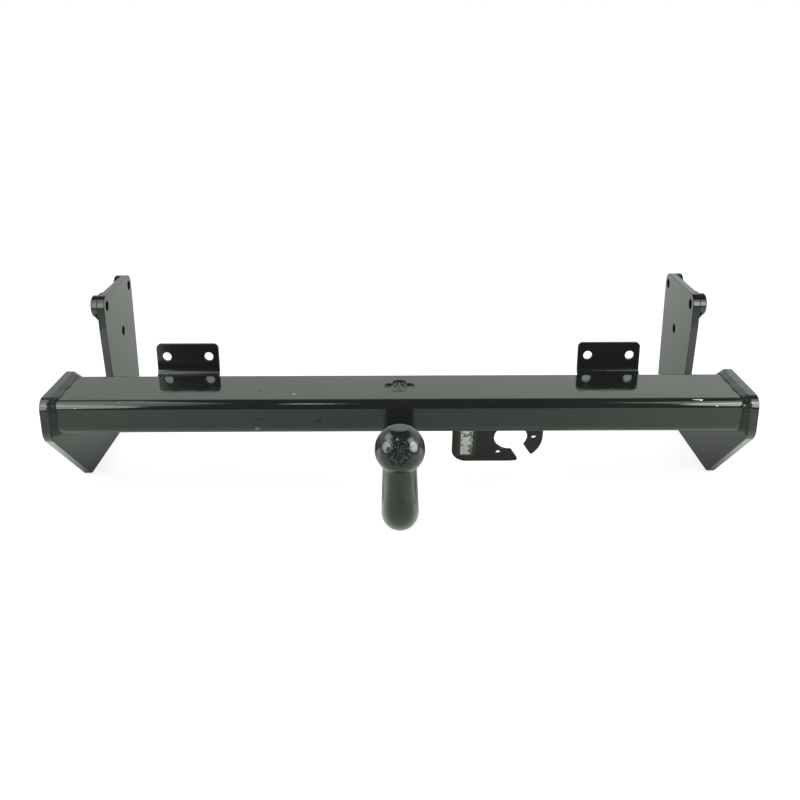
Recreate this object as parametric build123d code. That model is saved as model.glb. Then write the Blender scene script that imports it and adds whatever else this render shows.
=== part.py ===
from build123d import *
import math
import os

# A fixed towbar for a road vehicle, in millimetres.
# +Z is up, +Y points forwards under the vehicle, +X is to the right seen from behind it.
# The origin is the centre of the coupling ball.

# Coupling ball and its place relative to the beam
ball_radius = 25.0
ball_flat_radius = 10.0
ball_to_beam = 165.0
ball_above_beam = 10.5

# Cross beam, a rectangular hollow section
beam_length = 800.0
beam_depth = 100.0
beam_height = 40.0
beam_wall = 4.0
beam_corner = 10.0

# Cross-shaped opening in the top wall, over the end of the neck
cross_setback = 53.0
cross_length_x = 34.5
cross_width_x = 19.0
cross_length_y = 42.0
cross_width_y = 15.5
cross_corner = 5.0
cross_inner_corner = 3.0

# Side plates
plate_thickness = 10.0
plate_margin = 3.0
nose_margin = 4.5
nose_corner = 14.0
nose_lower_corner = 20.0
shoulder_length = 4.0
shoulder_corner = 6.0
heel_setback = 27.0
heel_corner = 12.0
plate_drop = 145.0
web_height = 55.0
arm_root_corner = 17.0
toe_corner = 25.0

# Chassis bolt holes and the arm around them
chassis_hole_radius = 6.75
front_hole_setback = 170.0
hole_rise = 41.5
hole_spacing = 120.0
lower_hole_setback = 68.5
lower_hole_drop = 54.5
arm_lobe_radius = 15.0
arm_taper_start = 29.5
arm_taper_corner = 60.0
arm_front_taper = 11.5
arm_rear_taper = 3.0

# Spacer discs on the outer face of the arms
spacer_radius = 15.0
spacer_thickness = 9.0
spacer_chamfer = 1.5
spacer_bead = 6.5

# Bead round each end of the beam
end_bead_on_beam = 10.0
end_bead_below = 6.0
end_bead_behind = 6.0

# Thickness left at the thin edge of every bead
bead_toe = 0.6

# Bumper brackets, folded from strip
left_bracket_offset = 263.0
right_bracket_offset = 261.0
bracket_width = 77.0
bracket_thickness = 4.0
bracket_standoff = 23.0
bracket_rise = 31.5
bracket_drop = 8.0
bracket_bend_radius = 8.0
bracket_corner = 6.0
bracket_hole_radius = 5.5
bracket_hole_spacing = 52.0
bracket_hole_rise = 15.0
bracket_bead = 4.0
bracket_bead_inset = 4.0

# Forged swan neck
neck_radius = 14.6
neck_waist_drop = 33.0
collar_width = 1.5
flare_radius = 15.7
shank_radius = 19.4
shank_below_beam = 28.7
bend_radius = 28.0
tail_bend_radius = 22.0
centre_mark_radius = 6.0
centre_mark_tip = 1.0
centre_mark_depth = 5.0
base_bead = 5.0
tail_clearance = 0.3
plug_weld_height = 2.6
plug_weld_gap = 0.2
plug_weld_rim = 1.0

# Socket plate
socket_centre_x = 135.0
socket_thickness = 3.0
socket_tilt = 20.0
socket_rim_radius = 39.0
socket_hole_radius = 20.0
socket_screw_pcd = 56.0
socket_screw_radius = 2.75
socket_screw_count = 3
socket_slot_width = 17.0
socket_slot_angle = 60.0
socket_top_reach = 31.0
socket_setback = 59.0
socket_wing = 71.0
socket_corner = 18.0
socket_top_corner = 5.0
socket_tip_corner = 2.5
socket_bead = 3.0
socket_bead_inset = 6.0

# Foil label on the socket plate
sticker_inset = 10.5
sticker_width = 14.5
sticker_foot = 27.5
sticker_height = 48.0
sticker_thickness = 0.3
sticker_corner = 1.0

# Small extra length that lets a cutting body pass right through
cut_over = 1.0
slot_side_width = 0.01

# Places worked out from the sizes above
beam_front = ball_to_beam
beam_back = beam_front + beam_depth
beam_top = -ball_above_beam
beam_bottom = beam_top - beam_height
plate_inner = beam_length / 2
plate_outer = plate_inner + plate_thickness
spacer_outer = plate_outer + spacer_thickness
front_hole_y = beam_back + front_hole_setback
rear_hole_y = front_hole_y + hole_spacing
lower_hole_y = front_hole_y + lower_hole_setback
upper_hole_z = beam_top + hole_rise
lower_hole_z = upper_hole_z - lower_hole_drop
chassis_holes = {
    "front": (front_hole_y, upper_hole_z),
    "rear": (rear_hole_y, upper_hole_z),
    "lower": (lower_hole_y, lower_hole_z),
}
plate_bottom = beam_top - plate_drop
shank_z = beam_bottom - shank_below_beam
tail_y = beam_front + cross_setback
tail_top = beam_top - beam_wall
socket_tilt_rad = math.radians(socket_tilt)
socket_hang = socket_top_reach * math.cos(socket_tilt_rad)
socket_centre_y = beam_front + socket_setback
socket_centre_z = beam_bottom - socket_hang

section_plane = Plane(origin=(0, 0, 0), x_dir=(0, 1, 0), z_dir=(1, 0, 0))


def rounded_section(low_y, high_y, low_z, high_z, corner):
    """A rectangle with round corners in the plane across the beam."""
    centre = Location(((low_y + high_y) / 2, (low_z + high_z) / 2))
    outline = RectangleRounded(high_y - low_y, high_z - low_z, corner)
    return section_plane * (centre * outline)


def cylinder_between(start, end, radius):
    """A plain cylinder from one point to another."""
    axis = Vector(*end) - Vector(*start)
    seat = Plane(origin=start, z_dir=axis)
    return extrude(seat * Circle(radius), axis.length)


def cross_outline(shrink):
    """The four-lobed opening, drawn smaller all round by the given amount."""
    far_x = cross_length_x / 2 - shrink
    far_y = cross_length_y / 2 - shrink
    near_x = cross_width_y / 2 - shrink
    near_y = cross_width_x / 2 - shrink
    points = [
        (far_x, near_y),
        (near_x, near_y),
        (near_x, far_y),
        (-near_x, far_y),
        (-near_x, near_y),
        (-far_x, near_y),
        (-far_x, -near_y),
        (-near_x, -near_y),
        (-near_x, -far_y),
        (near_x, -far_y),
        (near_x, -near_y),
        (far_x, -near_y),
    ]
    radii = [cross_corner - shrink, cross_inner_corner + shrink, cross_corner - shrink] * 4
    return make_face(FilletPolyline(*points, radius=radii, close=True))


def make_cross_beam():
    """Hollow section with the opening for the neck's weld and the hole for its tail."""
    outer = rounded_section(beam_front, beam_back, beam_bottom, beam_top, beam_corner)
    inner = rounded_section(
        beam_front + beam_wall,
        beam_back - beam_wall,
        beam_bottom + beam_wall,
        beam_top - beam_wall,
        beam_corner - beam_wall,
    )
    tube = extrude(outer - inner, beam_length / 2, both=True)
    opening_seat = Plane(origin=(0, tail_y, beam_top - beam_wall - cut_over))
    opening = extrude(opening_seat * cross_outline(0), beam_wall + 2 * cut_over)
    tail_hole = cylinder_between(
        (0, tail_y, beam_bottom - cut_over),
        (0, tail_y, beam_bottom + beam_wall + cut_over),
        shank_radius + tail_clearance,
    )
    return tube - opening - tail_hole


def plate_points():
    """Corners of the side plate as (y, z), from the nose round to the shoulder."""
    nose_front = beam_front - plate_margin
    nose_top = beam_top + plate_margin
    nose_low = beam_bottom - nose_margin
    arm_front = front_hole_y - arm_lobe_radius
    arm_back = rear_hole_y + arm_lobe_radius
    arm_top = upper_hole_z + arm_lobe_radius
    return [
        (nose_front, nose_top),
        (nose_front, nose_low),
        (beam_back + heel_setback, plate_bottom),
        (arm_back - arm_rear_taper, plate_bottom),
        (arm_back, arm_top),
        (arm_front, arm_top),
        (arm_front, upper_hole_z - arm_taper_start),
        (arm_front + arm_front_taper, plate_bottom + web_height),
        (beam_back + shoulder_length, nose_top),
    ]


def plate_face():
    """Outline of a side plate in the plane across the beam."""
    radii = [
        nose_corner,
        nose_lower_corner,
        heel_corner,
        toe_corner,
        arm_lobe_radius,
        arm_lobe_radius,
        arm_taper_corner,
        arm_root_corner,
        shoulder_corner,
    ]
    outline = FilletPolyline(*plate_points(), radius=radii, close=True)
    return section_plane * make_face(outline)


def make_side_plate(side):
    """Side plate with its arm and its three chassis holes, at either end of the beam."""
    start = Location((plate_inner if side > 0 else -plate_outer, 0, 0))
    plate = extrude(start * plate_face(), plate_thickness)
    for hole_y, hole_z in chassis_holes.values():
        plate -= cylinder_between(
            (side * (plate_inner - cut_over), hole_y, hole_z),
            (side * (plate_outer + cut_over), hole_y, hole_z),
            chassis_hole_radius,
        )
    return plate


def make_spacer(side, hole_name):
    """Round spacer disc that stands between the arm and the chassis rail."""
    hole_y, hole_z = chassis_holes[hole_name]
    disc = cylinder_between(
        (side * plate_outer, hole_y, hole_z),
        (side * spacer_outer, hole_y, hole_z),
        spacer_radius,
    )
    rims = disc.edges().filter_by(GeomType.CIRCLE).sort_by(Axis.X)
    disc = chamfer(rims[-1] if side > 0 else rims[0], spacer_chamfer)
    bore = cylinder_between(
        (side * (plate_outer - cut_over), hole_y, hole_z),
        (side * (spacer_outer + cut_over), hole_y, hole_z),
        chassis_hole_radius,
    )
    return disc - bore


def spacer_bead_ring(side, hole_name):
    """Fillet bead round one spacer, kept to where the plate lies under it."""
    hole_y, hole_z = chassis_holes[hole_name]
    seat = Plane(origin=(side * plate_outer, hole_y, hole_z), z_dir=(side, 0, 0))
    wide = seat * Circle(spacer_radius + spacer_bead)
    narrow = seat.offset(spacer_bead) * Circle(spacer_radius + bead_toe)
    cone = loft([wide, narrow])
    core = cylinder_between(
        (side * (plate_outer - cut_over), hole_y, hole_z),
        (side * (plate_outer + spacer_bead + cut_over), hole_y, hole_z),
        spacer_radius,
    )
    start = Location((plate_outer if side > 0 else -plate_outer - spacer_bead, 0, 0))
    plate_over = extrude(start * plate_face(), spacer_bead)
    return (cone - core) & plate_over


def make_spacer_welds(side):
    """The beads of all the spacers on one arm, as separate solids."""
    rings = [spacer_bead_ring(side, name) for name in chassis_holes]
    solids = [solid for ring in rings for solid in ring.solids()]
    return Compound(children=solids)


def make_beam_weld(side):
    """Fillet bead all round one end of the beam, on the inner face of its side plate."""
    at_plate = rounded_section(
        beam_front - plate_margin,
        beam_back + end_bead_behind,
        beam_bottom - end_bead_below,
        beam_top + plate_margin,
        beam_corner + plate_margin,
    )
    at_beam = rounded_section(
        beam_front - bead_toe,
        beam_back + bead_toe,
        beam_bottom - bead_toe,
        beam_top + bead_toe,
        beam_corner + bead_toe,
    )
    core = rounded_section(beam_front, beam_back, beam_bottom, beam_top, beam_corner)
    plate_end = Location((side * plate_inner, 0, 0))
    beam_end = Location((side * (plate_inner - end_bead_on_beam), 0, 0))
    bead = loft([plate_end * at_plate, beam_end * at_beam])
    hollow = extrude(plate_end * core, 2 * end_bead_on_beam, both=True)
    plate_over = extrude(plate_end * plate_face(), end_bead_on_beam, both=True)
    return (bead - hollow) & plate_over


def bracket_profile():
    """Section of a bumper bracket: a foot that meets the beam, a bend and a standing leg."""
    leg_front = beam_back + bracket_standoff
    foot_top = beam_top - bracket_drop
    leg_top = beam_top + bracket_rise
    leg_back = leg_front + bracket_thickness
    foot_low = foot_top - bracket_thickness
    points = [
        (beam_back, foot_top),
        (leg_front, foot_top),
        (leg_front, leg_top),
        (leg_back, leg_top),
        (leg_back, foot_low),
        (beam_back, foot_low),
    ]
    outer_bend = bracket_bend_radius + bracket_thickness
    outline = FilletPolyline(*points, radius=[0, bracket_bend_radius, 0, 0, outer_bend, 0], close=True)
    return section_plane * make_face(outline)


def make_bumper_bracket(centre_x):
    """Folded bracket with two holes and round upper corners."""
    strip = extrude(Location((centre_x, 0, 0)) * bracket_profile(), bracket_width / 2, both=True)
    top_corners = strip.edges().filter_by(Axis.Y).group_by(Axis.Z)[-1]
    strip = fillet(top_corners, bracket_corner)
    leg_front = beam_back + bracket_standoff
    for step in (-1, 1):
        hole_x = centre_x + step * bracket_hole_spacing / 2
        strip -= cylinder_between(
            (hole_x, leg_front - cut_over, beam_top + bracket_hole_rise),
            (hole_x, leg_front + bracket_thickness + cut_over, beam_top + bracket_hole_rise),
            bracket_hole_radius,
        )
    return strip


def make_bracket_weld(centre_x):
    """Bead under the foot of a bumper bracket, against the back of the beam."""
    foot_low = beam_top - bracket_drop - bracket_thickness
    triangle = make_face(
        Polyline(
            (beam_back, foot_low),
            (beam_back + bracket_bead, foot_low),
            (beam_back, foot_low - bracket_bead),
            close=True,
        )
    )
    half_length = bracket_width / 2 - bracket_bead_inset
    seat = Location((centre_x, 0, 0)) * (section_plane * triangle)
    return extrude(seat, half_length, both=True)


def neck_outline():
    """Half outline of the ball and the neck down to its bend, as (radius, height)."""
    flat_height = math.sqrt(ball_radius**2 - ball_flat_radius**2)
    collar_radius = neck_radius + collar_width
    collar_height = -math.sqrt(ball_radius**2 - collar_radius**2)
    bend_start = shank_z + bend_radius
    collar = (collar_radius, collar_height)
    throat_end = (neck_radius, collar_height - 2 * collar_width)
    waist = (neck_radius, -neck_waist_drop)
    flare_end = (flare_radius, bend_start)
    flare_pull = (neck_radius, (bend_start - neck_waist_drop) / 2)
    return [
        Line((0, flat_height), (ball_flat_radius, flat_height)),
        ThreePointArc((ball_flat_radius, flat_height), (ball_radius, 0), collar),
        Bezier(collar, (neck_radius, collar_height - collar_width / 2), throat_end),
        Line(throat_end, waist),
        Bezier(waist, flare_pull, flare_end),
        Line(flare_end, (0, bend_start)),
        Line((0, bend_start), (0, flat_height)),
    ]


def neck_bend():
    """First bend of the neck, which grows from the flare to the shank's full radius."""
    bend_start = shank_z + bend_radius
    arc = section_plane * CenterArc((bend_radius, bend_start), bend_radius, 180, 90)
    middle_radius = (flare_radius + 3 * shank_radius) / 4
    sections = [
        Plane(origin=arc @ place, z_dir=arc % place) * Circle(radius)
        for place, radius in ((0, flare_radius), (0.5, middle_radius), (1, shank_radius))
    ]
    return sweep(sections, path=arc, multisection=True)


def neck_tail():
    """Straight shank under the beam and its upturned tail."""
    turn_y = tail_y - tail_bend_radius
    turn_z = shank_z + tail_bend_radius
    level = Line((bend_radius, shank_z), (turn_y, shank_z))
    bend_up = CenterArc((turn_y, turn_z), tail_bend_radius, 270, 90)
    rise = Line((tail_y, turn_z), (tail_y, tail_top))
    path = section_plane * Wire([level, bend_up, rise])
    start = Plane(origin=(0, bend_radius, shank_z), z_dir=(0, 1, 0))
    return sweep(start * Circle(shank_radius), path=path)


def make_swan_neck():
    """One forging: flattened ball, tapering neck, shank under the beam and upturned tail."""
    half = make_face(Wire(neck_outline()))
    head = revolve(Plane.XZ * half, Axis.Z)
    forging = head + neck_bend() + neck_tail()
    mark = Pos(0, tail_y, tail_top - centre_mark_depth / 2) * Cone(
        centre_mark_tip, centre_mark_radius, centre_mark_depth
    )
    return forging - mark


def make_neck_base_weld(swan_neck):
    """Ring bead where the tail of the neck enters the underside of the beam."""
    seat = Plane(origin=(0, tail_y, beam_bottom), z_dir=(0, 0, -1))
    wide = seat * Circle(shank_radius + tail_clearance + base_bead)
    narrow = seat.offset(base_bead) * Circle(shank_radius + tail_clearance + bead_toe)
    return loft([wide, narrow]) - swan_neck


def make_neck_plug_weld():
    """Weld metal that fills the opening over the end face of the tail, round its centre mark."""
    seat = Plane(origin=(0, tail_y, tail_top))
    well = Circle(centre_mark_radius + plug_weld_rim)
    fill = extrude(seat * (cross_outline(plug_weld_gap) - well), plug_weld_height)
    on_tail = cylinder_between(
        (0, tail_y, tail_top - cut_over),
        (0, tail_y, tail_top + plug_weld_height + cut_over),
        shank_radius,
    )
    return fill & on_tail


def socket_frame():
    """Plane of the socket plate: X to the right, Y up along the plate, normal to the rear."""
    normal = Vector(0, -math.cos(socket_tilt_rad), -math.sin(socket_tilt_rad))
    origin = Vector(socket_centre_x, socket_centre_y, socket_centre_z)
    return Plane(origin=origin, x_dir=(1, 0, 0), z_dir=normal)


def socket_outline():
    """Outline of the socket plate: square wing to the left, round rim to the lower right."""
    points = [
        (-socket_wing, -socket_rim_radius),
        (socket_rim_radius, -socket_rim_radius),
        (socket_rim_radius, socket_top_reach),
        (-socket_wing, socket_top_reach),
    ]
    radii = [socket_corner, socket_rim_radius, socket_top_corner, socket_top_corner]
    return make_face(FilletPolyline(*points, radius=radii, close=True))


def beside_slot(corner):
    """Distance from a corner of the socket plate to the middle line of its cable slot."""
    angle = math.radians(-socket_slot_angle)
    return abs(corner.Y * math.cos(angle) - corner.X * math.sin(angle))


def round_slot_tips(face):
    """Round the two corners where the sides of the cable slot meet the rim."""
    on_side = face.vertices().filter_by(
        lambda corner: abs(beside_slot(corner) - socket_slot_width / 2) < slot_side_width
    )
    tips = on_side.sort_by(lambda corner: math.hypot(corner.X, corner.Y))[-2:]
    return fillet(tips, socket_tip_corner)


def make_socket_plate():
    """Plate for the electrical socket, with its opening, cable slot and screw holes."""
    face = socket_outline() - Circle(socket_hole_radius)
    slot_reach = 2 * socket_rim_radius
    slot = Rot(0, 0, -socket_slot_angle) * (
        Pos(slot_reach / 2, 0) * Rectangle(slot_reach, socket_slot_width)
    )
    face = round_slot_tips(face - slot)
    for index in range(socket_screw_count):
        angle = math.radians(-index * 360 / socket_screw_count)
        centre = Pos(socket_screw_pcd / 2 * math.cos(angle), socket_screw_pcd / 2 * math.sin(angle))
        face -= centre * Circle(socket_screw_radius)
    plate = extrude(socket_frame() * face, -socket_thickness)
    return split(plate, bisect_by=Plane(origin=(0, 0, beam_bottom)), keep=Keep.BOTTOM)


def socket_bead_prism(face_y, direction):
    """Triangular bead along the top of the socket plate, on its rear or its front face."""
    depth = socket_bead * math.cos(socket_tilt_rad)
    points = [
        (face_y, beam_bottom),
        (face_y + direction * socket_bead, beam_bottom),
        (face_y + depth * math.tan(socket_tilt_rad), beam_bottom - depth),
    ]
    triangle = make_face(Polyline(*points, close=True))
    left_end = socket_centre_x - socket_wing + socket_top_corner + socket_bead_inset
    right_end = socket_centre_x + socket_rim_radius - socket_top_corner - socket_bead_inset
    seat = Location((left_end, 0, 0)) * (section_plane * triangle)
    return extrude(seat, right_end - left_end)


def make_socket_plate_weld():
    """Beads along both faces of the socket plate, under the beam."""
    rear_face = socket_centre_y - socket_hang * math.tan(socket_tilt_rad)
    front_face = rear_face + socket_thickness / math.cos(socket_tilt_rad)
    beads = [socket_bead_prism(rear_face, -1), socket_bead_prism(front_face, 1)]
    return Compound(children=beads)


def make_rating_sticker():
    """Bare foil label on the face of the socket plate."""
    centre_x = -socket_wing + sticker_inset + sticker_width / 2
    centre_y = -sticker_foot + sticker_height / 2
    label = Pos(centre_x, centre_y) * RectangleRounded(sticker_width, sticker_height, sticker_corner)
    return extrude(socket_frame() * label, sticker_thickness)


def build_nodes():
    """Every piece of the towbar by name."""
    swan_neck = make_swan_neck()
    nodes = {
        "cross_beam": make_cross_beam(),
        "swan_neck": swan_neck,
        "neck_base_weld": make_neck_base_weld(swan_neck),
        "neck_plug_weld": make_neck_plug_weld(),
        "socket_plate": make_socket_plate(),
        "socket_plate_weld": make_socket_plate_weld(),
        "rating_sticker": make_rating_sticker(),
    }
    for side_name, side in (("left", -1), ("right", 1)):
        nodes[f"{side_name}_side_plate"] = make_side_plate(side)
        nodes[f"{side_name}_beam_weld"] = make_beam_weld(side)
        nodes[f"{side_name}_spacer_welds"] = make_spacer_welds(side)
        for hole_name in chassis_holes:
            nodes[f"{side_name}_{hole_name}_spacer"] = make_spacer(side, hole_name)
    for side_name, centre_x in (("left", -left_bracket_offset), ("right", right_bracket_offset)):
        nodes[f"{side_name}_bumper_bracket"] = make_bumper_bracket(centre_x)
        nodes[f"{side_name}_bracket_weld"] = make_bracket_weld(centre_x)
    return nodes


os.makedirs("parts", exist_ok=True)
for node_name, shape in build_nodes().items():
    export_step(shape, f"parts/{node_name}.step")
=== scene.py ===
"""Visual model of a fixed towbar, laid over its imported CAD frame.

The steelwork gets the rounded edges that paint gives it, every weld becomes a run of overlapping
drops, each surface gets the finish of the real one, and a plain studio lights it all.
"""

import logging
import math
import random
from dataclasses import dataclass, field
from enum import Enum
from typing import Any, Sequence

import bpy
from mathutils import Matrix, Vector
from mathutils.bvhtree import BVHTree


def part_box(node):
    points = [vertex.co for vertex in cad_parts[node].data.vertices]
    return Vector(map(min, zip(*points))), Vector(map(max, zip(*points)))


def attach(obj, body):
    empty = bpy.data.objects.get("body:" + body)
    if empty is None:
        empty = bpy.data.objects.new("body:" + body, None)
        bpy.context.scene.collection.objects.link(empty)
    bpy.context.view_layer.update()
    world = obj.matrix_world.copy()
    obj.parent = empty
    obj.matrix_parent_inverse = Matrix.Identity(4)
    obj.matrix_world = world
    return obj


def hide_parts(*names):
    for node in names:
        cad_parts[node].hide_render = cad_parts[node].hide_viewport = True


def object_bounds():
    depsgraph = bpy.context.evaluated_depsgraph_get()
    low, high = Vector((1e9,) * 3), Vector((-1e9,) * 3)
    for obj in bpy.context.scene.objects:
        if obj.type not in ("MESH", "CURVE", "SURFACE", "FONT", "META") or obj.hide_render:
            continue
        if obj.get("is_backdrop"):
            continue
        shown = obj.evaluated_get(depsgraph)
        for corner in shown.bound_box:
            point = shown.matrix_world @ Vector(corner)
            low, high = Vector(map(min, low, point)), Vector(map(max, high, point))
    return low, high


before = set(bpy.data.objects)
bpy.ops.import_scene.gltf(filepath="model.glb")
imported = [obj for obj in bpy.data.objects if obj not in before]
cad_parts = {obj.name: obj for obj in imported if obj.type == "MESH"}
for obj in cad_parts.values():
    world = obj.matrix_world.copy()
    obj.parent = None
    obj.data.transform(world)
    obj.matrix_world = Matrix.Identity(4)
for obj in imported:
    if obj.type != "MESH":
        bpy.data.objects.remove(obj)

log = logging.getLogger("towbar")

# Metres in a millimetre.
MM = 0.001
# Vertices closer than this are one, in metres, and faces that turn less than this are one plane.
SAME_PLACE = 1e-6
SAME_PLANE = math.radians(0.4)
# Edges that turn more than this stay crisp.
CRISP = math.radians(35)

Colour = tuple[float, float, float, float]
Point = tuple[float, float, float]
Span = tuple[float, float]
Tree = bpy.types.NodeTree
Node = bpy.types.Node
Socket = bpy.types.NodeSocket

WHITE: Colour = (1.0, 1.0, 1.0, 1.0)
# Setting of a Map Range node that eases in and out between its two places.
SMOOTH = {"interpolation_type": "SMOOTHSTEP"}


# Shared helpers


def linear(hex_code: str) -> Colour:
    """Turn an sRGB hex colour into linear RGBA.

    Args:
        hex_code: Colour such as "#1b1c1b".

    Returns:
        Red, green, blue and an alpha of 1, all linear.
    """
    values = [int(hex_code[at : at + 2], 16) / 255 for at in (1, 3, 5)]
    red, green, blue = (
        value / 12.92 if value <= 0.04045 else ((value + 0.055) / 1.055) ** 2.4
        for value in values
    )
    return red, green, blue, 1.0


def add_node(
    tree: Tree,
    kind: str,
    settings: dict[str, Any] | None = None,
    inputs: dict[str | int, Any] | Sequence[Any] = (),
) -> Node:
    """Add a shader node, set its properties and feed its inputs.

    Args:
        tree: Node tree that takes the node.
        kind: Blender's node type without its "ShaderNode" prefix.
        settings: Properties of the node.
        inputs: Values, sockets or nodes, by input name or place, or in the order of the inputs. A
            node stands for its first output that is in use.

    Returns:
        The new node.
    """
    node = tree.nodes.new("ShaderNode" + kind)
    for name, value in (settings or {}).items():
        setattr(node, name, value)
    feed = inputs if isinstance(inputs, dict) else dict(enumerate(inputs))
    for name, value in feed.items():
        if isinstance(value, Node):
            value = next(output for output in value.outputs if output.enabled)
        if isinstance(value, Socket):
            tree.links.new(value, node.inputs[name])
        else:
            node.inputs[name].default_value = value
    return node


def start_material(name: str) -> tuple[bpy.types.Material, Tree, Socket]:
    """Make a material with an empty node tree.

    Args:
        name: Name of the material.

    Returns:
        The material, its node tree and its Object coordinates.
    """
    made = bpy.data.materials.new(name)
    made.use_nodes = True
    tree = made.node_tree
    tree.nodes.clear()
    return made, tree, add_node(tree, "TexCoord").outputs["Object"]


def corners_of(node: str) -> tuple[Vector, Vector]:
    """Lowest and highest corner of a CAD node, in metres."""
    low, high = (Vector(point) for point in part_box(node))
    return low, high


def select_only(piece: bpy.types.Object) -> None:
    """Leave edit mode with one piece selected and active.

    Args:
        piece: Mesh object.
    """
    if bpy.context.mode != "OBJECT":
        bpy.ops.object.mode_set(mode="OBJECT")
    bpy.ops.object.select_all(action="DESELECT")
    piece.select_set(True)
    bpy.context.view_layer.objects.active = piece


def edit_all(piece: bpy.types.Object) -> None:
    """Enter edit mode on one piece with all of it selected.

    Args:
        piece: Mesh object.
    """
    select_only(piece)
    bpy.ops.object.mode_set(mode="EDIT")
    bpy.ops.mesh.select_all(action="SELECT")


def apply_modifier(piece: bpy.types.Object, kind: str, **settings: Any) -> None:
    """Add a modifier to a piece and apply it.

    Args:
        piece: Mesh object.
        kind: Modifier type, such as "BEVEL".
        settings: Properties of the modifier.
    """
    select_only(piece)
    modifier = piece.modifiers.new(kind.lower(), kind)
    for name, value in settings.items():
        setattr(modifier, name, value)
    bpy.ops.object.modifier_apply(modifier=modifier.name)


def link_piece(name: str, mesh: bpy.types.Mesh) -> bpy.types.Object:
    """Put a mesh into the scene as an object at the origin."""
    piece = bpy.data.objects.new(name, mesh)
    bpy.context.scene.collection.objects.link(piece)
    return piece


def dress(piece: bpy.types.Object, material: bpy.types.Material) -> None:
    """Give a new piece one material all over."""
    piece.data.materials.clear()
    piece.data.materials.append(material)


def merged_copy(node: str, name: str) -> bpy.types.Object:
    """Copy a CAD node into one closed mesh whose flat faces are whole.

    Args:
        node: Name of the CAD node.
        name: Name of the new piece.

    Returns:
        The copy, at the origin.
    """
    piece = link_piece(name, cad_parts[node].data.copy())
    select_only(piece)
    bpy.ops.mesh.customdata_custom_splitnormals_clear()
    edit_all(piece)
    bpy.ops.mesh.remove_doubles(threshold=SAME_PLACE)
    bpy.ops.mesh.dissolve_limited(angle_limit=SAME_PLANE)
    bpy.ops.object.mode_set(mode="OBJECT")
    return piece


def hand_over(piece: bpy.types.Object, slot: str, *nodes: str) -> None:
    """Put a finished piece on the towbar's body in the place of its CAD nodes.

    Args:
        piece: Finished mesh object.
        slot: Material slot of the record; not used.
        nodes: CAD nodes that the piece stands for.
    """
    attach(piece, "root")
    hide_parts(*nodes)
    piece.data.calc_loop_triangles()
    log.info("%s: %d triangles", piece.name, len(piece.data.loop_triangles))


# Finishes


class Substrate(Enum):
    """The steel under the paint, which shows through it as relief."""

    ROLLED_SECTION = "rolled_section"
    CUT_PLATE = "cut_plate"
    FOLDED_STRIP = "folded_strip"
    TURNED_DISC = "turned_disc"
    FORGING = "forging"
    WELD = "weld"


class Grain(Enum):
    """How a relief looks up close."""

    WAVES = "soft waves"
    PITS = "scattered pits with smooth steel between them"


# Distance from a pit's middle where its wall begins and where it meets the surface, in cells.
PIT_WALL = (0.15, 0.53)


@dataclass(frozen=True)
class Relief:
    """One scale of unevenness.

    Args:
        cell: Size of one bump along X, Y and Z, in millimetres.
        depth: Height from crest to hollow, in millimetres.
        grain: How it looks up close.
        centre: Middle of the patch that it covers, in millimetres.
        reach: Radius of that patch, in millimetres, or 0 where it covers everything.
        fade: Width of the rim over which the patch fades out, in millimetres.
    """

    cell: Point
    depth: float
    grain: Grain = Grain.WAVES
    centre: Point = (0.0, 0.0, 0.0)
    reach: float = 0.0
    fade: float = 4.0

    def height(self, tree: Tree, place: Socket) -> Node:
        """Height of the waves or depth of the pits, from 0 to 1.

        Args:
            tree: Node tree of the material.
            place: Object coordinates.

        Returns:
            The height, which fades out round the patch.
        """
        scale = tuple(1 / (size * MM) for size in self.cell)
        placed = add_node(tree, "Mapping", {}, {"Vector": place, "Scale": scale})
        if self.grain is Grain.PITS:
            cells = add_node(tree, "TexVoronoi", {}, {"Vector": placed, "Scale": 1.0})
            height = add_node(tree, "MapRange", SMOOTH, (cells, *PIT_WALL, 1.0, 0.0))
        else:
            inputs = {"Vector": placed, "Scale": 1.0, "Detail": 2.0}
            height = add_node(tree, "TexNoise", {}, inputs)
        if not self.reach:
            return height
        centre = tuple(value * MM for value in self.centre)
        far = add_node(tree, "VectorMath", {"operation": "DISTANCE"}, (place, centre))
        rim = ((self.reach - self.fade) * MM, self.reach * MM, 1.0, 0.0)
        inside = add_node(tree, "MapRange", SMOOTH, (far, *rim))
        return add_node(tree, "Math", {"operation": "MULTIPLY"}, (height, inside))


@dataclass(frozen=True)
class Mark:
    """A scuff, a chip, a paint nib or a patch of painted shade.

    Args:
        place: Middle of the mark, in millimetres.
        reach: Half its size along X, Y and Z, in millimetres.
        colour: Colour of what shows there, or of the painted shade.
        grain: Size of its ragged patches, in millimetres.
        cover: Share of the mark that is broken through or shaded, from 0 to 1.
        edge: Softness of the rims of its patches.
    """

    place: Point
    reach: Point
    colour: str
    grain: float = 1.5
    cover: float = 0.6
    edge: float = 0.05


# Orange peel of a baked dip coat: cells of about 2 mm, a hundredth of a millimetre deep.
PEEL = Relief((2.0, 2.0, 2.0), 0.008)

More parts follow.
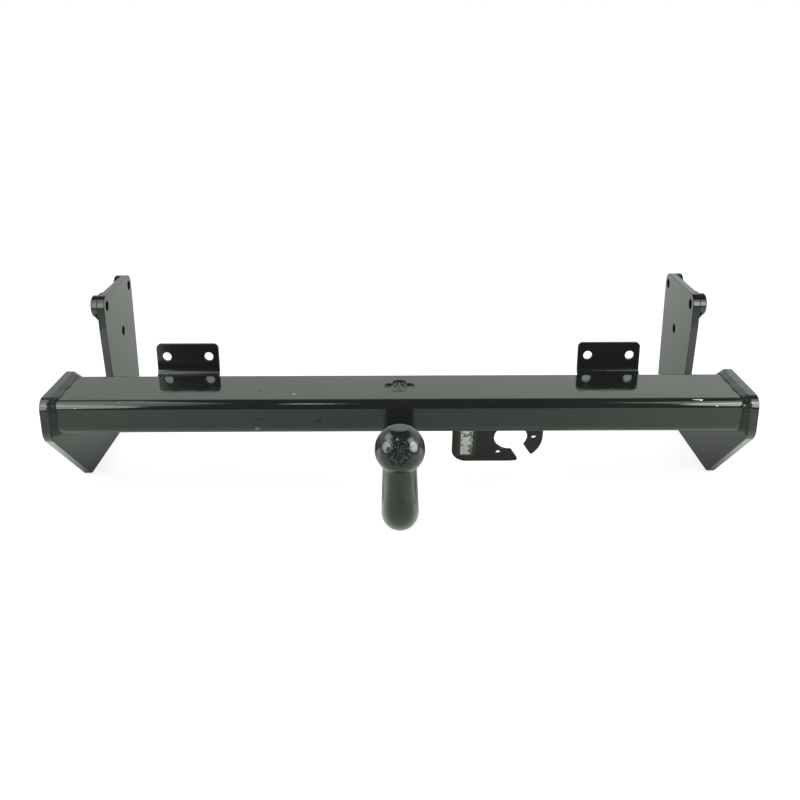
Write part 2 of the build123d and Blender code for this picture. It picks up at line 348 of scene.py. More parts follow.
RELIEFS: dict[Substrate, tuple[Relief, ...]] = {
    # The long waves of a drawn wall, with faint die lines along it.
    Substrate.ROLLED_SECTION: (
        Relief((120.0, 30.0, 30.0), 0.08),
        Relief((160.0, 3.0, 3.0), 0.008),
        PEEL,
    ),
    Substrate.CUT_PLATE: (Relief((30.0, 30.0, 30.0), 0.05), PEEL),
    Substrate.FOLDED_STRIP: (Relief((30.0, 30.0, 30.0), 0.05), PEEL),
    Substrate.TURNED_DISC: (Relief((12.0, 12.0, 12.0), 0.02), PEEL),
    # Scale pits under the paint on the front of the ball; the dies left the rest smoother.
    Substrate.FORGING: (
        Relief((14.0, 14.0, 14.0), 0.12),
        Relief((5.0, 5.0, 5.0), 0.35, reach=26.0),
        Relief((3.1, 3.1, 3.1), 0.8, Grain.PITS, (0.0, -23.5, 5.0), 15.0),
        Relief((2.0, 2.0, 3.0), 0.6, Grain.PITS, (0.0, -24.0, 2.0), 13.0),
    ),
    # Blowholes where the torch turned the beam's upper front corners and in the plug weld.
    Substrate.WELD: (
        Relief((6.0, 6.0, 6.0), 0.2),
        Relief((2.4, 2.4, 2.4), 0.06),
        Relief((3.4, 3.4, 3.4), 0.8, Grain.PITS, (-396.0, 169.0, -14.0), 12.0),
        Relief((2.3, 2.3, 2.3), 0.5, Grain.PITS, (-396.0, 168.0, -14.0), 11.0),
        Relief((3.4, 3.4, 3.4), 0.8, Grain.PITS, (396.0, 169.0, -14.0), 12.0),
        Relief((2.3, 2.3, 2.3), 0.5, Grain.PITS, (396.0, 168.0, -14.0), 11.0),
        Relief((3.6, 3.6, 3.6), 0.5, Grain.PITS, (0.0, 231.0, -12.0), 19.0),
    ),
}


@dataclass(frozen=True)
class GlossPaint:
    """Black dip coat baked on steel: a hard, glassy film over whatever lies under it.

    Args:
        substrate: Steel under the film, which sets its relief.
        marks: Damage to the film, and patches of painted shade.
        gloss: Lowest and highest roughness over the surface.
        index: Refractive index of the resin.
        film: Colour of the film where it is thick.
        thin: Colour where it is thin or dusty.
        cloud: Size of a thick or thin patch, a hand's breadth, in millimetres.
        dust: Size of a dull patch, in millimetres.
        dulled: Strength of the dust from which it dulls the film, and where it dulls it fully.
        mark_roughness: Roughness of a mark, worn or painted shade.
        pit_depth: Depth of a pit, as a share, at which its painted shade is darkest.
        shine: Specular level of the open film, and the lower level at the bottom of a pit that
            paints its shade.
    """

    substrate: Substrate
    marks: Sequence[Mark] = ()
    gloss: Span = (0.05, 0.13)
    index: float = 1.5
    film: str = "#121412"
    thin: str = "#1b1d1b"
    cloud: float = 60.0
    dust: float = 9.0
    dulled: Span = (0.35, 0.7)
    mark_roughness: float = 0.55
    pit_depth: float = 0.6
    shine: Span = (0.5, 0.04)

    def material(self) -> bpy.types.Material:
        """Build the material.

        Returns:
            A material that reads only Object coordinates.
        """
        made, tree, place = start_material("dip_coat_on_" + self.substrate.value)
        inputs = {"Vector": place, "Scale": 1 / (self.cloud * MM), "Detail": 4.0}
        clouds = add_node(tree, "TexNoise", {}, inputs)
        shades = {0: clouds, 6: linear(self.film), 7: linear(self.thin)}
        colour = add_node(tree, "Mix", {"data_type": "RGBA"}, shades)
        inputs = {"Vector": place, "Scale": 1 / (self.dust * MM), "Detail": 6.0}
        dust = add_node(tree, "TexNoise", {}, inputs)
        rough = add_node(tree, "MapRange", {}, (dust, *self.dulled, *self.gloss))
        for mark in self.marks:
            mask = self.mark_mask(tree, place, mark)
            shades = {0: mask, 6: colour, 7: linear(mark.colour)}
            colour = add_node(tree, "Mix", {"data_type": "RGBA"}, shades)
            figures = {0: mask, 2: rough, 3: self.mark_roughness}
            rough = add_node(tree, "Mix", {"data_type": "FLOAT"}, figures)
        normal, pitted = self.relief(tree, place)
        inputs = {"Base Color": colour, "Roughness": rough, "IOR": self.index, "Normal": normal}
        if pitted is not None:
            # Painted shade: the specular level drops towards the bottom of a pit, where little
            # light finds its way out.
            figures = (pitted, 0.0, self.pit_depth, *self.shine)
            inputs["Specular IOR Level"] = add_node(tree, "MapRange", {}, figures)
        shader = add_node(tree, "BsdfPrincipled", {}, inputs)
        add_node(tree, "OutputMaterial", {}, {"Surface": shader})
        return made

    def mark_mask(self, tree: Tree, place: Socket, mark: Mark) -> Node:
        """Ragged mask of one mark.

        Args:
            tree: Node tree of the material.
            place: Object coordinates.
            mark: The mark.

        Returns:
            A value of 1 inside the mark and 0 outside it.
        """
        centre = tuple(value * MM for value in mark.place)
        size = tuple(value * MM for value in mark.reach)
        away = add_node(tree, "VectorMath", {"operation": "SUBTRACT"}, (place, centre))
        share = add_node(tree, "VectorMath", {"operation": "DIVIDE"}, (away, size))
        far = add_node(tree, "VectorMath", {"operation": "LENGTH"}, (share,))
        # Noise runs about a middle of a half, so the fade is set against it and cut there.
        half = 0.5
        span = (half, 1.0, mark.cover - half, -half)
        fade = add_node(tree, "MapRange", SMOOTH, (far, *span))
        inputs = {"Vector": place, "Scale": 1 / (mark.grain * MM), "Detail": 3.0}
        noise = add_node(tree, "TexNoise", {}, inputs)
        ragged = add_node(tree, "Math", {"operation": "ADD"}, (fade, noise))
        edge = (half - mark.edge, half + mark.edge, 0.0, 1.0)
        return add_node(tree, "MapRange", SMOOTH, (ragged, *edge))

    def relief(self, tree: Tree, place: Socket) -> tuple[Node | None, Node | None]:
        """Chain the reliefs into one bumped normal.

        Args:
            tree: Node tree of the material.
            place: Object coordinates.

        Returns:
            The last bump, and a value of 1 at the bottom of a pit (None without pits).
        """
        bump = pitted = None
        for relief in RELIEFS[self.substrate]:
            height = relief.height(tree, place)
            is_pit = relief.grain is Grain.PITS
            if is_pit and pitted is not None:
                pitted = add_node(tree, "Math", {"operation": "MAXIMUM"}, (pitted, height))
            elif is_pit:
                pitted = height
            inputs = {"Height": height, "Distance": relief.depth * MM, "Strength": 1.0}
            if bump is not None:
                inputs["Normal"] = bump
            bump = add_node(tree, "Bump", {"invert": is_pit}, inputs)
        return bump, pitted


@dataclass(frozen=True)
class LabelFilm:
    """Clear film of the label, pressed over the foil: a grey lighter than the paint, paler in
    cloudy patches.

    Args:
        name: Name of the material.
        darker: Colour of the film between its patches.
        lighter: Colour where a patch is palest.
        mottle: Size of one patch of the mottle, in millimetres.
        gloss: Roughness of the film.
        index: Refractive index of the film.
        dimple: Depth of its dimples, in millimetres.
    """

    name: str = "clear_label_film"
    darker: str = "#262826"
    lighter: str = "#3b3e3a"
    mottle: float = 4.0
    gloss: float = 0.22
    index: float = 1.5
    dimple: float = 0.02

    def material(self) -> bpy.types.Material:
        """Build the material.

        Returns:
            A material that reads only Object coordinates.
        """
        made, tree, place = start_material(self.name)
        inputs = {"Vector": place, "Scale": 1 / (self.mottle * MM), "Detail": 3.0}
        mottle = add_node(tree, "TexNoise", {}, inputs)
        shades = {0: mottle, 6: linear(self.darker), 7: linear(self.lighter)}
        colour = add_node(tree, "Mix", {"data_type": "RGBA"}, shades)
        bump = add_node(tree, "Bump", {}, {"Height": mottle, "Distance": self.dimple * MM})
        inputs = {
            "Base Color": colour,
            "Roughness": self.gloss,
            "IOR": self.index,
            "Normal": bump,
        }
        shader = add_node(tree, "BsdfPrincipled", {}, inputs)
        add_node(tree, "OutputMaterial", {}, {"Surface": shader})
        return made


@dataclass(frozen=True)
class LabelFoil:
    """Bare aluminium foil of a label that carries no print: bright, creased and soiled.

    Args:
        name: Name of the material.
        metal: Colour of the foil.
        soil: Colour of the grime and paint mist on it.
        grime: Size of a soiled patch, in millimetres.
        soiled: Strength of the grime from which it shows, and where it is thickest.
        cover: How much of the metal the thickest grime hides.
        crease: Size of one crease across, in millimetres.
        depth: Depth of a crease, in millimetres.
        gloss: Roughness of the foil.
    """

    name: str = "aluminium_label_foil"
    metal: str = "#e3e2e0"
    soil: str = "#5a5d58"
    grime: float = 6.5
    soiled: Span = (0.45, 0.62)
    cover: float = 0.85
    crease: float = 5.0
    depth: float = 0.5
    gloss: float = 0.3

    def material(self) -> bpy.types.Material:
        """Build the material.

        Returns:
            A material that reads only Object coordinates.
        """
        made, tree, place = start_material(self.name)
        inputs = {"Vector": place, "Scale": 1 / (self.grime * MM), "Detail": 1.5}
        grime = add_node(tree, "TexNoise", {}, inputs)
        dirty = add_node(tree, "MapRange", SMOOTH, (grime, *self.soiled, 0.0, self.cover))
        shades = {0: dirty, 6: linear(self.metal), 7: linear(self.soil)}
        colour = add_node(tree, "Mix", {"data_type": "RGBA"}, shades)
        inputs = {"Vector": place, "Scale": 1 / (self.crease * MM), "Detail": 2.0}
        folds = add_node(tree, "TexNoise", {}, inputs)
        inputs = {"Height": folds, "Distance": self.depth * MM, "Strength": 1.0}
        bump = add_node(tree, "Bump", {}, inputs)
        inputs = {
            "Base Color": colour,
            "Roughness": self.gloss,
            "Metallic": 1.0,
            "Normal": bump,
        }
        shader = add_node(tree, "BsdfPrincipled", {}, inputs)
        add_node(tree, "OutputMaterial", {}, {"Surface": shader})
        return made


# Rubs and nibs of the beam, where the photograph shows them, and two dark patches of painted shade
# on its front face.
BEAM_MARKS_AND_SHADE = (
    Mark((340.5, 170.2, -11.7), (8.5, 1.1, 0.7), "#a5a8a2", grain=1.3, cover=0.6),
    Mark((344.9, 169.8, -12.0), (3.0, 1.4, 1.0), "#c4c7c1", grain=1.0, cover=0.7),
    Mark((362.4, 165.6, -17.8), (2.0, 0.8, 0.7), "#c4c7c1", grain=1.0, cover=0.7),
    Mark((-369.6, 165.4, -18.0), (1.1, 0.7, 0.7), "#a9aca6", grain=1.0, cover=0.8),
    Mark((-319.8, 169.0, -12.5), (1.1, 1.0, 0.9), "#767974", grain=1.0, cover=0.8),
    Mark((-161.9, 165.0, -44.0), (8.0, 2.0, 5.0), "#8f928c", grain=1.1, cover=0.42),
    # Painted shade: the next two dark patches darken the front face where its reflection is darker.
    Mark((-159.6, 165.0, -31.4), (9.0, 2.0, 5.0), "#070807", grain=3.0, cover=0.5),
    Mark((-93.3, 165.0, -34.2), (8.0, 2.0, 4.5), "#070807", grain=3.0, cover=0.6),
    Mark((-162.0, 201.7, -10.5), (1.6, 3.0, 1.0), "#0b0c0b", grain=2.0, cover=0.9),
    Mark((-122.3, 190.9, -10.5), (2.6, 4.0, 1.0), "#8d918b", grain=1.4, cover=0.6),
)


# Steelwork


@dataclass
class PaintedSteel:
    """A CAD node whose cut edges the paint film rounds.

    Args:
        node: Name of the CAD node.
        slot: Material slot of the record.
        edge: Radius of a painted edge, in millimetres.
        steps: Segments over that radius.
        sliver: Width of the slivers that the rounding leaves, in millimetres; they are dissolved.
    """

    node: str
    slot: str = "painted_steel"
    edge: float = 0.8
    steps: int = 3
    sliver: float = 0.002

    def build(self, material: bpy.types.Material) -> None:
        """Make the piece and hand it over in its finish.

        Args:
            material: Finish of the piece.
        """
        piece = merged_copy(self.node, self.node + "_painted")
        apply_modifier(
            piece,
            "BEVEL",
            width=self.edge * MM,
            segments=self.steps,
            limit_method="ANGLE",
            angle_limit=CRISP,
            use_clamp_overlap=False,
        )
        edit_all(piece)
        bpy.ops.mesh.dissolve_degenerate(threshold=self.sliver * MM)
        bpy.ops.object.mode_set(mode="OBJECT")
        bpy.ops.object.shade_smooth_by_angle(angle=CRISP)
        apply_modifier(piece, "WEIGHTED_NORMAL", keep_sharp=True)
        dress(piece, material)
        hand_over(piece, self.slot, self.node)


@dataclass
class CadDress:
    """A CAD node that keeps its own mesh and only takes a finish.

    Args:
        node: Name of the CAD node.
    """

    node: str

    def build(self, material: bpy.types.Material) -> None:
        """Assign the finish to every slot of the node.

        Args:
            material: Finish of the piece.
        """
        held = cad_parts[self.node]
        for slot in held.material_slots:
            slot.material = material
        log.info("%s: CAD mesh, %s", self.node, material.name)


# Angle of the socket plate from the vertical.
SOCKET_TILT = math.radians(20)


@dataclass
class SocketLabel:
    """The foil label of the socket plate with its clear film round it.

    Args:
        width: Width of the film, in millimetres.
        height: Height of the film, in millimetres.
        thickness: Thickness of the film, in millimetres.
        corner: Radius of its corners, in millimetres.
        steps: Segments over that radius.
        foil: Thickness of the foil under it, in millimetres.
    """

    width: float = 22.4
    height: float = 52.0
    thickness: float = 0.12
    corner: float = 1.5
    steps: int = 5
    foil: float = 0.3

    def build(self) -> None:
        """Dress the foil and lay the film on the plate round it."""
        CadDress("rating_sticker").build(LabelFoil().material())
        low, high = corners_of("rating_sticker")
        across = Vector((1, 0, 0))
        up = Vector((0, -math.sin(SOCKET_TILT), math.cos(SOCKET_TILT)))
        out = across.cross(up)
        seat = (low + high) / 2 - out * self.foil * MM / 2
        bpy.ops.object.select_all(action="DESELECT")
        bpy.ops.mesh.primitive_plane_add(size=1)
        piece = bpy.context.object
        piece.name = "label_film"
        edit_all(piece)
        bpy.ops.transform.resize(value=(self.width * MM, self.height * MM, 1))
        bpy.ops.mesh.bevel(offset=self.corner * MM, segments=self.steps, affect="VERTICES")
        bpy.ops.mesh.extrude_region_move(
            TRANSFORM_OT_translate={"value": (0, 0, self.thickness * MM)}
        )
        bpy.ops.mesh.select_all(action="SELECT")
        bpy.ops.mesh.normals_make_consistent(inside=False)
        bpy.ops.object.mode_set(mode="OBJECT")
        turn = Matrix((across, up, out)).transposed().to_4x4()
        piece.data.transform(Matrix.Translation(seat) @ turn)
        dress(piece, LabelFilm().material())
        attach(piece, "root")
        log.info("%s: %g x %g mm", piece.name, self.width, self.height)


# Welds


@dataclass(frozen=True)
class Station:
    """Where one drop of weld metal lies.

    Args:
        root: Corner of the joint under the drop.
        along: Unit direction of the seam.
        first: Unit direction up the first wall, away from the root.
        second: Unit direction up the second wall.
        legs: How far the drop reaches up each wall, in metres.
        stretch: Share of its length that the drop keeps where the seam turns.
    """

    root: Vector
    along: Vector
    first: Vector
    second: Vector
    legs: Span
    stretch: float = 1.0


# Share of the way to the middle of its neighbours that a vertex moves in one round of smoothing.
SMOOTHING = 0.5


def finish_weld(
    piece: bpy.types.Object,
    material: bpy.types.Material,
    node: str,
    rounds: int,
) -> None:
    """Smooth a weld, paint it and hand it over.

    Args:
        piece: The weld.
        material: Its finish.
        node: CAD node that it stands for.
        rounds: Rounds of smoothing.
    """
    apply_modifier(piece, "SMOOTH", factor=SMOOTHING, iterations=rounds)
    select_only(piece)
    bpy.ops.object.shade_smooth()
    dress(piece, material)
    hand_over(piece, "painted_weld", node)


# Facets round and along a drop, and round and along a lump.
DROP_FACETS = (36, 28)
LUMP_FACETS = (16, 10)


@dataclass
class DropBead:
    """A weld bead made as the torch lays it, one drop after another.

    Args:
        name: Name of the piece.
        node: CAD node that it stands for.
        stations: Where the drops lie.
        pitch: Distance between drops, in millimetres.
        overlap: Half the length of a drop, in pitches.
        voxel: Grain of the skin that joins the drops, in millimetres.
        unrest: Share by which the bead swells and thins along its way.
        firm: Share of the leg up the second wall that never swells.
        waves: Millimetres to a radian of each wave of the swell, and its share.
        spread: Least and greatest length of a drop, as shares of its usual length.
        jitter: Share by which one drop differs from the next.
        sunk: How far behind the walls a drop's middle lies, in legs; less makes it rounder.
        buried: How far into the walls a drop reaches, in legs.
        lumps: Middle and radius of each lump where the torch stopped, in metres.
        seed: Seed of the drops' unevenness.
    """

    name: str
    node: str
    stations: list[Station]
    pitch: float = 3.0
    overlap: float = 2.0
    voxel: float = 0.6
    unrest: float = 0.07
    firm: float = 0.6
    waves: tuple[Span, ...] = ((5.3, 1.0), (1.7, 0.1))
    spread: Span = (0.9, 1.1)
    jitter: float = 0.03
    sunk: float = 1.0
    buried: float = 0.16
    lumps: list[tuple[Vector, float]] = field(default_factory=list)
    seed: int = 1

    @property
    def radius(self) -> float:
        """Radius of a drop whose legs are 1."""
        return math.hypot(1 + self.sunk, self.sunk)

    def drop(self) -> bpy.types.Mesh:
        """Model one drop between two walls that meet at a right angle, with legs of 1.

        Returns:
            Mesh with the first wall along X, the second along Y and the seam along Z.
        """
        bpy.ops.object.select_all(action="DESELECT")
        bpy.ops.mesh.primitive_uv_sphere_add(
            segments=DROP_FACETS[0],
            ring_count=DROP_FACETS[1],
            radius=self.radius,
            location=(-self.sunk, -self.sunk, 0),
        )
        ball = bpy.context.object
        bpy.ops.object.transform_apply()
        bpy.ops.object.mode_set(mode="EDIT")
        for wall in ((1, 0, 0), (0, 1, 0)):
            bpy.ops.mesh.select_all(action="SELECT")
            behind = tuple(-self.buried * value for value in wall)
            bpy.ops.mesh.bisect(plane_co=behind, plane_no=wall, use_fill=True, clear_inner=True)
        bpy.ops.object.mode_set(mode="OBJECT")
        mesh = ball.data.copy()
        bpy.data.objects.remove(ball)
        return mesh

    def lay(self) -> list[bpy.types.Object]:
        """Lay a copy of the drop at every station and the lumps on top.

        Returns:
            One object for each drop and lump.
        """
        shape = self.drop()
        dice = random.Random(self.seed)
        # Each wave starts anywhere in about a whole turn.
        starts = [dice.uniform(0, 6) for _ in self.waves]
        laid = []
        for at, station in enumerate(self.stations):
            way = at * self.pitch
            swell = 1 + self.unrest * sum(
                share * math.sin(way / wave + start)
                for (wave, share), start in zip(self.waves, starts)
            )
            swell *= dice.uniform(1 - self.jitter, 1 + self.jitter)
            length = self.overlap * self.pitch * MM * dice.uniform(*self.spread)
            length *= station.stretch / self.radius
            columns = (
                station.first * station.legs[0] * swell,
                station.second * station.legs[1] * (self.firm + (1 - self.firm) * swell),
                station.along * length,
            )
            turn = Matrix(columns).transposed().to_4x4()
            mesh = shape.copy()
            mesh.transform(Matrix.Translation(station.root) @ turn)
            if turn.determinant() < 0:
                mesh.flip_normals()
            laid.append(link_piece(self.name, mesh))
        for middle, radius in self.lumps:
            bpy.ops.object.select_all(action="DESELECT")
            bpy.ops.mesh.primitive_uv_sphere_add(
                segments=LUMP_FACETS[0],
                ring_count=LUMP_FACETS[1],
                radius=radius,
                location=middle,
            )
            bpy.ops.object.transform_apply()
            laid.append(bpy.context.object)
        return laid

    def build(self, material: bpy.types.Material) -> None:
        """Lay the drops, melt them together and hand the bead over in its finish.

        Args:
            material: Finish of the bead.
        """
        laid = self.lay()
        select_only(laid[0])
        for drop in laid:
            drop.select_set(True)
        bpy.ops.object.join()
        piece = laid[0]
        piece.name = self.name
        piece.data.name = self.name
        apply_modifier(piece, "REMESH", mode="VOXEL", voxel_size=self.voxel * MM)
        finish_weld(piece, material, self.node, rounds=6)


def straight_seam(
    start: Vector, end: Vector, first: Vector, second: Vector, legs: Span, pitch: float
) -> list[Station]:
    """Stations along a straight seam.

    Args:
        start: One end of the seam's root.
        end: Other end.
        first: Unit direction up the first wall.
        second: Unit direction up the second wall.
        legs: Reach up each wall, in metres.
        pitch: Distance between drops, in metres.

    Returns:
        Evenly spaced stations, half a pitch in from each end.
    """
    count = max(2, round((end - start).length / pitch))
    along = (end - start).normalized()
    return [
        Station(start.lerp(end, (at + 0.5) / count), along, first, second, legs)
        for at in range(count)
    ]


def round_seam(
    centre: Vector, axis: Vector, radius: float, legs: Span, pitch: float
) -> list[Station]:
    """Stations round a disc or a bar that stands on a flat face.

    Args:
        centre: Where the axis meets the face.
        axis: Unit direction in which the bar stands up from the face.
        radius: Radius of the bar, in metres.
        legs: Reach along the face and up the bar, in metres.
        pitch: Distance between drops, in metres.

    Returns:
        Evenly spaced stations all the way round.
    """
    count = round(2 * math.pi * radius / pitch)
    start = axis.orthogonal().normalized()
    made = []
    for at in range(count):
        out = Matrix.Rotation(2 * math.pi * at / count, 3, axis) @ start
        made.append(Station(centre + out * radius, axis.cross(out), out, axis, legs))
    return made


@dataclass
class EndWelds:
    """Fillet beads that tie each side plate to the end of the cross beam.

    Args:
        corner: Outer corner radius of the beam's section, in millimetres.
        on_beam: Leg along the beam, in millimetres.
        pitch: Distance between drops, in millimetres.
        overhang: How far a plate's rounded nose stands past the beam's corner, in millimetres.
        passes: Share of each leg, on the beam and on the plate, that one run of the torch fills.
        turn: Degrees from one point to the next round a corner of the section.
        squeeze: Share of its length that a drop keeps at such a corner.
        count: Number of lumps where the torch turned the upper front corner.
        arc: Degrees up from the front over which they lie.
        aside: Least and greatest distance from the plate, in millimetres.
        size: Least and greatest radius, in millimetres.
        proud: How far a lump's middle stands over the beam, in radii.
        hidden: How far it lies under the plate's nose, in radii, where it is past the joint.
    """

    corner: float = 10.0
    on_beam: float = 9.5
    pitch: float = 3.0
    overhang: float = 3.5
    passes: tuple[Span, ...] = ((1.0, 0.78), (0.5, 1.0))
    turn: int = 15
    squeeze: float = 0.4
    count: int = 26
    arc: Span = (10, 80)
    aside: Span = (-1.0, 8.5)
    size: Span = (0.9, 1.9)
    proud: float = 0.3
    hidden: float = 0.7

    def stations(self, side: int, run: Span) -> list[Station]:
        """Walk round the section at one end of the beam.

        Args:
            side: -1 for the left end, 1 for the right one.
            run: Share of each leg that this run of the torch fills.

        Returns:
            Stations all the way round.
        """
        low, high = corners_of("cross_beam")
        bead_low, bead_high = corners_of("left_beam_weld" if side < 0 else "right_beam_weld")
        radius = self.corner * MM
        face_x = high.x if side > 0 else low.x
        inward = Vector((-side, 0, 0))
        reach = {
            "top": bead_high.z - high.z,
            "bottom": low.z - bead_low.z,
            "front": low.y - bead_low.y,
            "rear": bead_high.y - high.y,
        }
        centres = [
            (high.y - radius, high.z - radius, 0),
            (low.y + radius, high.z - radius, 90),
            (low.y + radius, low.z + radius, 180),
            (high.y - radius, low.z + radius, 270),
        ]
        outline: list[tuple[Vector, Vector]] = []
        for y, z, start in centres:
            for degrees in range(start, start + 90 + self.turn, self.turn):
                angle = math.radians(degrees)
                normal = Vector((0, math.cos(angle), math.sin(angle)))
                outline.append((Vector((face_x, y, z)) + normal * radius, normal))
        outline.append(outline[0])
        made = []
        behind = 0.0
        for (start, normal), (end, next_normal) in zip(outline, outline[1:]):
            length = (end - start).length
            along = (end - start).normalized()
            while behind < length:
                share = behind / length
                out = normal.lerp(next_normal, share).normalized()
                leg_y = reach["rear"] if out.y > 0 else reach["front"]
                leg_z = reach["top"] if out.z > 0 else reach["bottom"]
                leg = leg_y * out.y**2 + leg_z * out.z**2
                root = start.lerp(end, share)
                legs = (self.on_beam * run[0] * MM, leg * run[1])
                stretch = 1.0 if normal == next_normal else self.squeeze
                made.append(Station(root, along, inward, out, legs, stretch))
                behind += self.pitch * MM
            behind -= length
        return made

    def lumps(self, side: int) -> list[tuple[Vector, float]]:
        """Lumps of metal where the torch turned the upper front corner.

        Args:
            side: -1 for the left end, 1 for the right one.

        Returns:
            Middle and radius of each lump, in metres.
        """
        low, high = corners_of("cross_beam")
        end_x = high.x if side > 0 else low.x
        radius = self.corner * MM
        made = []
        dice = random.Random(11 + side)
        for _ in range(self.count):
            angle = math.radians(dice.uniform(*self.arc))
            aside = dice.uniform(*self.aside) * MM
            out = Vector((0, -math.cos(angle), math.sin(angle)))
            middle = Vector((end_x - side * aside, low.y + radius, high.z - radius))
            size = dice.uniform(*self.size) * MM
            rise = radius + self.proud * size
            if aside <= 0:
                rise = radius + self.overhang * MM - self.hidden * size
            made.append((middle + out * rise, size))
        return made

    def build(self, material: bpy.types.Material) -> None:
        """Lay both beads.

        Args:
            material: Finish of the beads.
        """
        for side, word in ((-1, "left"), (1, "right")):
            DropBead(
                f"{word}_end_bead",
                f"{word}_beam_weld",
                [station for run in self.passes for station in self.stations(side, run)],
                self.pitch,
                overlap=3.0,
                jitter=0.006,
                sunk=0.0,
                lumps=self.lumps(side),
                seed=7 + side,
            ).build(material)


@dataclass
class SpacerWelds:
    """Beads that hold the spacer discs on the arms, laid only where the arm reaches past them.

    Args:
        disc: Radius of a spacer, in millimetres.
        legs: Leg on the arm and up the disc, in millimetres.
        pitch: Distance between drops, in millimetres.
        probe: How far out from the seam, and over the arm, the arm is felt for, in millimetres.
        depth: How far down it is felt for, in millimetres.
    """

    disc: float = 15.0
    legs: Span = (6.2, 6.0)
    pitch: float = 2.6
    probe: float = 5.0
    depth: float = 8.0

    def stations(self, word: str) -> list[Station]:
        """Stations round the three spacers of one arm.

        Args:
            word: "left" or "right".

        Returns:
            Those stations that have plate under their drop.
        """
        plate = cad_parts[f"{word}_side_plate"].data
        tree = BVHTree.FromPolygons(
            [vertex.co for vertex in plate.vertices],
            [tuple(face.vertices) for face in plate.polygons],
        )
        low, high = corners_of(f"{word}_side_plate")
        outward = Vector((-1 if word == "left" else 1, 0, 0))
        face_x = low.x if word == "left" else high.x
        legs = tuple(leg * MM for leg in self.legs)
        made = []
        for place in ("front", "rear", "lower"):
            disc_low, disc_high = corners_of(f"{word}_{place}_spacer")
            middle = (disc_low + disc_high) / 2
            seat = Vector((face_x, middle.y, middle.z))
            for station in round_seam(seat, outward, self.disc * MM, legs, self.pitch * MM):
                probe = station.root + (station.first + outward) * self.probe * MM
                if tree.ray_cast(probe, -outward, self.depth * MM)[0] is not None:
                    made.append(station)
        return made

    def build(self, material: bpy.types.Material) -> None:
        """Lay the beads of both arms.

        Args:
            material: Finish of the beads.
        """
        for seed, word in enumerate(("left", "right")):
            DropBead(
                f"{word}_spacer_beads",
                f"{word}_spacer_welds",
                self.stations(word),
                self.pitch,
                seed=21 + seed,
            ).build(material)


@dataclass
class BracketWelds:
    """Seam under the foot of each bumper bracket, on the rear face of the beam.

    Args:
        leg: Leg of the seam, in millimetres.
        pitch: Distance between drops, in millimetres.
    """

    leg: float = 4.0
    pitch: float = 2.6

    def build(self, material: bpy.types.Material) -> None:
        """Lay both seams.

        Args:
            material: Finish of the seams.
        """
        for seed, word in enumerate(("left", "right")):
            node = f"{word}_bracket_weld"
            low, high = corners_of(node)
            seam = straight_seam(
                Vector((low.x, low.y, high.z)),
                Vector((high.x, low.y, high.z)),
                Vector((0, 1, 0)),
                Vector((0, 0, -1)),
                (self.leg * MM, self.leg * MM),
                self.pitch * MM,
            )
            DropBead(
                f"{word}_bracket_seam", node, seam, self.pitch, voxel=0.45, seed=31 + seed
            ).build(material)


@dataclass
class SocketSeams:
    """Seams along both faces of the socket plate, under the beam.

    Args:
        leg: Leg of the bead, in millimetres.
        pitch: Distance between drops, in millimetres.
    """

    leg: float = 3.0
    pitch: float = 2.4

    def build(self, material: bpy.types.Material) -> None:
        """Lay the seams as one piece.

        Args:
            material: Finish of the seams.
        """
        low, high = corners_of("socket_plate_weld")
        down = Vector((0, math.sin(SOCKET_TILT), -math.cos(SOCKET_TILT)))
        leg = self.leg * MM
        stations = []
        for y, way in ((low.y + leg, -1), (high.y - leg, 1)):
            stations += straight_seam(
                Vector((low.x, y, high.z)),
                Vector((high.x, y, high.z)),
                Vector((0, way, 0)),
                down,
                (leg, leg),
                self.pitch * MM,
            )
        DropBead(
            "socket_plate_seams", "socket_plate_weld", stations, self.pitch, voxel=0.4, seed=42
        ).build(material)


